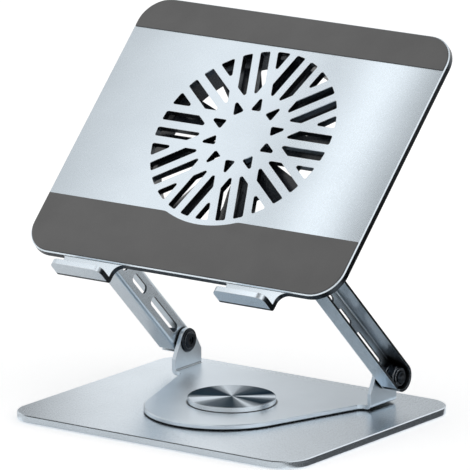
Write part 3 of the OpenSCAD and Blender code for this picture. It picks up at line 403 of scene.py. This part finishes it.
# Oil-soaked sintered bronze: brown-gold and porous, with 0.1 mm pores drawn at 0.3 mm.
sintered_bronze = surface("sintered_bronze", ("#8a6a3c", "#a07c48"), "#c09a5c",
                          patch=1.5 * MM, grain=0.3 * MM, relief=0.02 * MM,
                          rough=(0.4, 0.55), Metallic=1.0)
dress(sintered_bronze, "fan_bearing")

# Electrical steel: dark grey, varnished.
varnished_steel = surface("varnished_steel", ("#5e6064", "#6d7075"), "#8f9296",
                          patch=2 * MM, grain=0.35 * MM, relief=0.01 * MM,
                          rough=(0.35, 0.5), Metallic=1.0)
dress(varnished_steel, "stator_core")

# Sintered ferrite: black-grey and dull as slate.
sintered_ferrite = surface("sintered_ferrite", ("#2a2a2c", "#343436"), "#48484b",
                           patch=2 * MM, grain=0.3 * MM, relief=0.02 * MM,
                           rough=(0.6, 0.75))
dress(sintered_ferrite, "magnet_ring")

# Solder-masked board: dark green under a glossy lacquer.
solder_mask = surface("solder_mask", ("#0d3a22", "#12492c"), "#1c6b42", patch=3 * MM,
                      grain=0.6 * MM, relief=0.01 * MM, rough=(0.2, 0.3))
dress(solder_mask, "motor_board")

# Enamelled copper wire, 0.3 mm, wound side by side.
enamelled_copper = surface("enamelled_copper", ("#8f4a22", "#b86534"), "#d08850",
                           patch=0.6 * MM, grain=0.3 * MM, relief=0.05 * MM,
                           rough=(0.2, 0.35), Metallic=1.0)
dress(enamelled_copper, "stator_coils")

# ---------------------------------------------------------------- lead and socket
# The motor's own lead runs along the frame to a small power inlet, whose shell is
# pressed from steel strip and plated.

# PVC sleeve on the motor's two leads: soft black with a low sheen.
pvc_sleeve = surface("pvc_sleeve", ("#131314", "#1c1c1e"), "#2b2b2d", patch=3 * MM,
                     grain=0.4 * MM, relief=0.01 * MM, rough=(0.4, 0.55))
dress(pvc_sleeve, "fan_lead")

# Nickel plate on the socket's pressed shell: warm, bright and smooth.
nickel_plate = surface("nickel_plate", ("#b7b5b0", "#c6c4bf"), "#dedcd7", patch=3 * MM,
                       grain=0.4 * MM, relief=0.004 * MM, rough=(0.14, 0.24),
                       edge=0.15 * MM, Metallic=1.0)
dress(nickel_plate, "power_socket")

# ---------------------------------------------------------------- studio
# A white floor that runs back out of sight under an even white tent. Lit scrims
# and cards stand where the metal mirrors them, and nothing else sees them.


def floor_paint():
    """White lacquer that shows as white to the eye and in reflections, and keeps shadows."""
    floor_lift = 0.35  # what the tent's light lacks of white
    made = blank("floor_paint")
    tree = made.node_tree
    ray = add(tree, "LightPath")
    seen = add(tree, "Math", {0: ray.outputs["Is Camera Ray"],
                              1: ray.outputs["Is Glossy Ray"]}, operation="MAXIMUM")
    shown = add(tree, "Math", {0: seen.outputs[0],
                               1: ray.outputs["Is Transmission Ray"]}, operation="MAXIMUM")
    lift = add(tree, "Math", {0: shown.outputs[0], 1: floor_lift}, operation="MULTIPLY")
    glow = add(tree, "Emission", {"Color": linear("#ffffff"), "Strength": lift.outputs[0]})
    paint = add(tree, "BsdfDiffuse", {"Color": linear("#f4f4f4")})
    both = add(tree, "AddShader", {0: paint.outputs[0], 1: glow.outputs[0]})
    add(tree, "OutputMaterial", {"Surface": both.outputs[0]})
    return made


def lit_cloth(name, width, tones, strength):
    """Scrim cloth whose light changes along its width; tones are pairs of place and grey."""
    made = blank(name)
    tree = made.node_tree
    place = add(tree, "SeparateXYZ", {0: add(tree, "TexCoord").outputs["Object"]})
    along = add(tree, "MapRange", {"Value": place.outputs["X"], "From Min": -width / 2,
                                   "From Max": width / 2})
    light = blend_along(tree, along.outputs["Result"],
                        [(at, (grey, grey, grey, 1)) for at, grey in tones])
    glow = add(tree, "Emission", {"Color": light, "Strength": strength})
    add(tree, "OutputMaterial", {"Surface": glow.outputs[0]})
    return made


def card(name, middle, across, upward, size, finish):
    """A flat stage piece that only the reflections see, across by upward at its middle."""
    w, h = size[0] / 2, size[1] / 2
    data = bpy.data.meshes.new(name)
    data.from_pydata([(-w, -h, 0), (w, -h, 0), (w, h, 0), (-w, h, 0)], [], [(0, 1, 2, 3)])
    data.materials.append(finish)
    made = bpy.data.objects.new(name, data)
    x, y = Vector(across).normalized(), Vector(upward).normalized()
    z = x.cross(y).normalized()
    y = z.cross(x)
    turn = Matrix((x, y, z)).transposed().to_4x4()
    made.matrix_world = Matrix.Translation(middle) @ turn
    made.visible_camera = False
    made.visible_diffuse = False
    made.visible_shadow = False
    bpy.context.scene.collection.objects.link(made)
    return made


floor_w = 24.0
floor = card("floor", (0, 0, 0), (1, 0, 0), (0, 1, 0), (floor_w, floor_w), floor_paint())
floor.visible_camera = True
floor.visible_diffuse = True
floor.visible_shadow = True


def tent(around, panels):
    """A world of even light with soft round panels: azimuth, elevation, radius, strength."""
    sky = bpy.data.worlds.new("tent")
    sky.use_nodes = True
    tree = sky.node_tree
    tree.nodes.clear()
    outward = add(tree, "TexCoord").outputs["Generated"]
    light = around
    for azimuth, elevation, radius, blur, strength in panels:
        turn, climb = math.radians(azimuth), math.radians(elevation)
        aim = (math.cos(turn) * math.cos(climb), math.sin(turn) * math.cos(climb),
               math.sin(climb))
        facing = add(tree, "VectorMath", {0: outward, 1: aim}, operation="DOT_PRODUCT")
        apart = add(tree, "Math", {0: facing.outputs["Value"]}, operation="ARCCOSINE")
        inside = add(tree, "MapRange", {"Value": apart.outputs[0],
                                        "From Min": math.radians(radius + blur),
                                        "From Max": math.radians(radius - blur)},
                     interpolation_type="SMOOTHSTEP")
        light = add(tree, "Mix", {0: inside.outputs["Result"], 2: light, 3: strength}).outputs[0]
    glow = add(tree, "Background", {"Color": linear("#ffffff"), "Strength": light})
    add(tree, "OutputWorld", {"Surface": glow.outputs[0]})
    bpy.context.scene.world = sky


# Brighter panels at the back and on the right, and a dark one high on the left.
tent(0.8, [(75, 34, 12, 10, 1.1), (-10, 41, 22, 12, 1.15), (155, 56, 13, 8, 0.15)])

# The tray's scrim hangs parallel to it, moved to the left and up, so that the metal
# mirrors it.
tray_low, tray_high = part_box("tray_plate")
up_tray = Vector((0, 1, 1)).normalized()
off_tray = Vector((0, -1, 1)).normalized()
tray_scrim_off = 0.10
tray_scrim_left, tray_scrim_up = 0.763 * tray_scrim_off, 0.51 * tray_scrim_off
tray_scrim_w = 0.40
card("tray_scrim", (tray_low + tray_high) / 2 + off_tray * tray_scrim_off
     - Vector((tray_scrim_left, 0, 0)) + up_tray * tray_scrim_up,
     (1, 0, 0), up_tray, (tray_scrim_w, 0.5),
     lit_cloth("tray_scrim_cloth", tray_scrim_w,
               [(0.0, 0.42), (0.16, 0.43), (0.26, 0.58), (0.35, 0.66), (0.50, 0.68),
                (0.56, 0.60), (0.62, 0.40), (0.65, 0.46), (0.69, 0.80), (0.73, 1.0),
                (0.76, 0.84), (0.80, 0.32), (0.84, 0.18), (1.0, 0.3)], 1.5))

# The base's scrim stands behind on the left.
left_back = Vector((-0.581, 0.814, 0))
base_scrim_w = 0.50
card("base_scrim", left_back * 0.30 + Vector((0, 0, 0.15)), (0.814, 0.581, 0), (0, 0, 1),
     (base_scrim_w, 0.30),
     lit_cloth("base_scrim_cloth", base_scrim_w,
               [(0.0, 0.30), (0.19, 0.32), (0.25, 0.60), (0.30, 0.76), (0.35, 0.84),
                (0.44, 0.82), (0.50, 0.74), (0.58, 0.58), (0.70, 0.50), (1.0, 0.45)], 1.1))


def pasteboard(name, code):
    """Dull coloured board for the cards."""
    made = blank(name)
    dull = add(made.node_tree, "BsdfDiffuse", {"Color": linear(code)})
    add(made.node_tree, "OutputMaterial", {"Surface": dull.outputs[0]})
    return made


# Black and slate cards lie and stand on the right, where the faces that look to the right
# mirror the room. Pale cards lie on the left and in front, and a grey one at the back.
# The flag over the front edge gives the base's bevel its dark line.
black_board = pasteboard("black_card", "#101010")
slate_board = pasteboard("slate_card", "#5c5c5e")
pale_board = pasteboard("pale_card", "#f2f2f2")
grey_board = pasteboard("grey_card", "#a8a8a8")
right_back = Vector((0.581, 0.814, 0))
across_right = Vector((0.814, -0.581, 0))


def beside_floor(over, back, high):
    """A place on the right: so far over, so far back from the swivel, and so high."""
    return across_right * over + right_back * back + Vector((0, 0, high))


east, north, straight_up = (1, 0, 0), (0, 1, 0), (0, 0, 1)
for name, middle, along, upward, size, board in (
        ("base_side_card", (0.15, 0.0, 0.0004), east, north, (0.058, 0.26), slate_board),
        ("right_card", beside_floor(0.21, 0.57, 0.0005), across_right, right_back,
         (0.48, 0.66), black_board),
        ("side_wall_card", beside_floor(0.235, 0.90, 0.17), across_right, straight_up,
         (0.53, 0.34), black_board),
        ("left_card", (-0.28, -0.01, 0.0002), east, north, (0.318, 0.34), pale_board),
        ("front_card", (-0.06, -0.165, 0.0002), east, north, (0.50, 0.128), pale_board),
        ("front_flag", (-0.06, -0.127, 0.060), east, north, (0.40, 0.042), black_board),
        ("back_card", (-0.10, 0.33, 0.0003), east, north, (0.50, 0.44), grey_board)):
    card(name, middle, along, upward, size, board)

# ---------------------------------------------------------------- camera
# A long lens, far off, from the right and a little above.
azimuth, elevation = math.radians(35.541), math.radians(14.754)
distance = 4.967
rise, drift = 0.024840, 0.000437  # slopes by which it aims above and beside the swivel
swivel_foot = Vector((0, 0, 1.2 * MM))
across = Vector((math.cos(azimuth), math.sin(azimuth), 0))
back = Vector((math.sin(azimuth) * math.cos(elevation), -math.cos(azimuth) * math.cos(elevation),
               math.sin(elevation)))
upward = back.cross(across)
eye = bpy.data.cameras.new("eye")
eye.sensor_width, eye.lens = 36.0, 553.251
eye.clip_start, eye.clip_end = 0.1, 60.0
viewer = bpy.data.objects.new("viewer", eye)
viewer.location = back * distance + swivel_foot
viewer.rotation_euler = (upward * rise + across * drift - back).to_track_quat("-Z", "Y").to_euler()
bpy.context.scene.collection.objects.link(viewer)
bpy.context.scene.camera = viewer
bpy.context.scene.view_settings.view_transform = "Standard"
